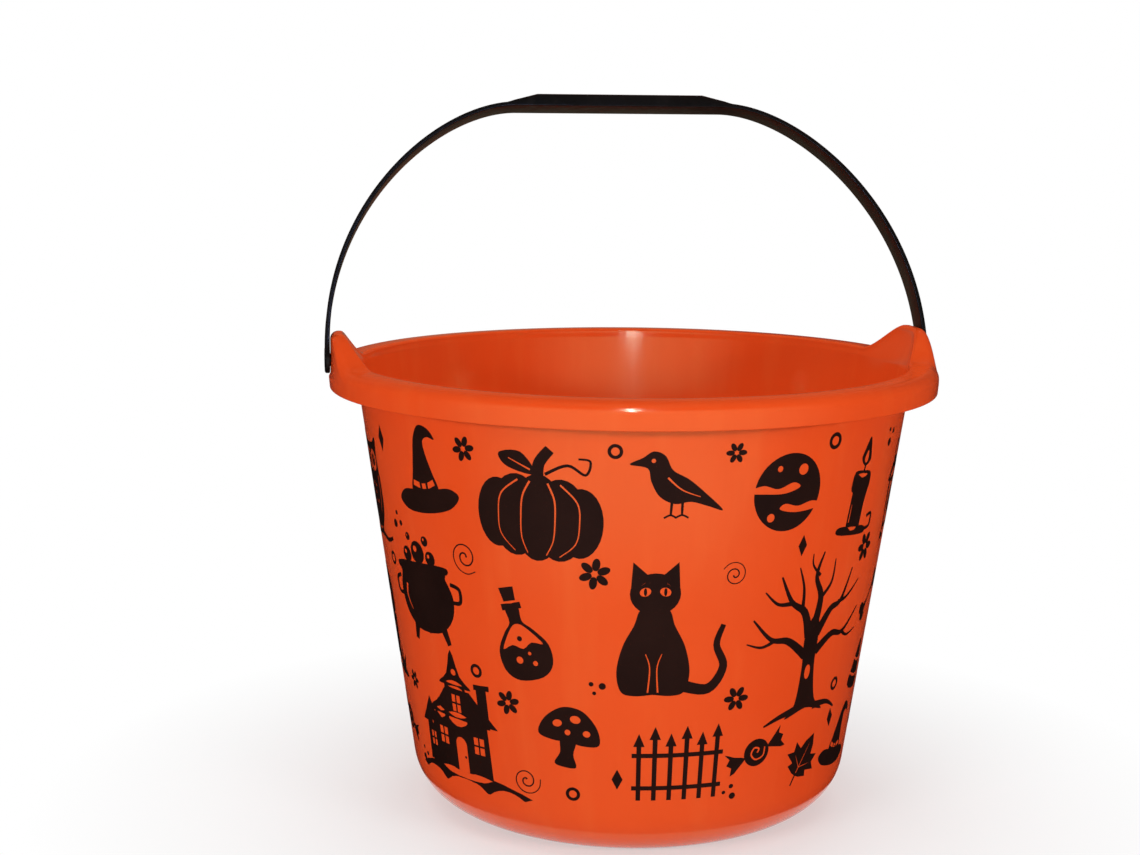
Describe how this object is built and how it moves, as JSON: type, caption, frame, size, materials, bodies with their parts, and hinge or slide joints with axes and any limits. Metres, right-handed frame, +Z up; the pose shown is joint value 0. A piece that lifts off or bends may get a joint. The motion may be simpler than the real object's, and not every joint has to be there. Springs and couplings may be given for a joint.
{
  "type": "treat pail",
  "caption": "Round tapered plastic pail with a turned over rim, two raised ears and a swinging strap handle.",
  "frame": {"origin": "middle of the foot ring, on the surface the pail stands on", "axes": "+Z up along the axis of the pail, +X from one ear to the other along the axis of the handle's pins, -Y towards the side the handle leans away from"},
  "size_m": [0.2432, 0.2398, 0.2808],
  "materials": {
    "pail_plastic": "semi gloss moulded polypropylene, orange",
    "handle_plastic": "satin moulded plastic, black"
  },
  "bodies": {
    "pail_body": {"pail": "pail_plastic"},
    "handle_body": {"handle": "handle_plastic"}
  },
  "joints": [
    {"name": "handle_hinge", "type": "hinge", "parent": "pail_body", "child": "handle_body", "pos_m": [0, 0, 0.178], "axis": [1, 0, 0], "range_deg": [-68, 107]}
  ]
}
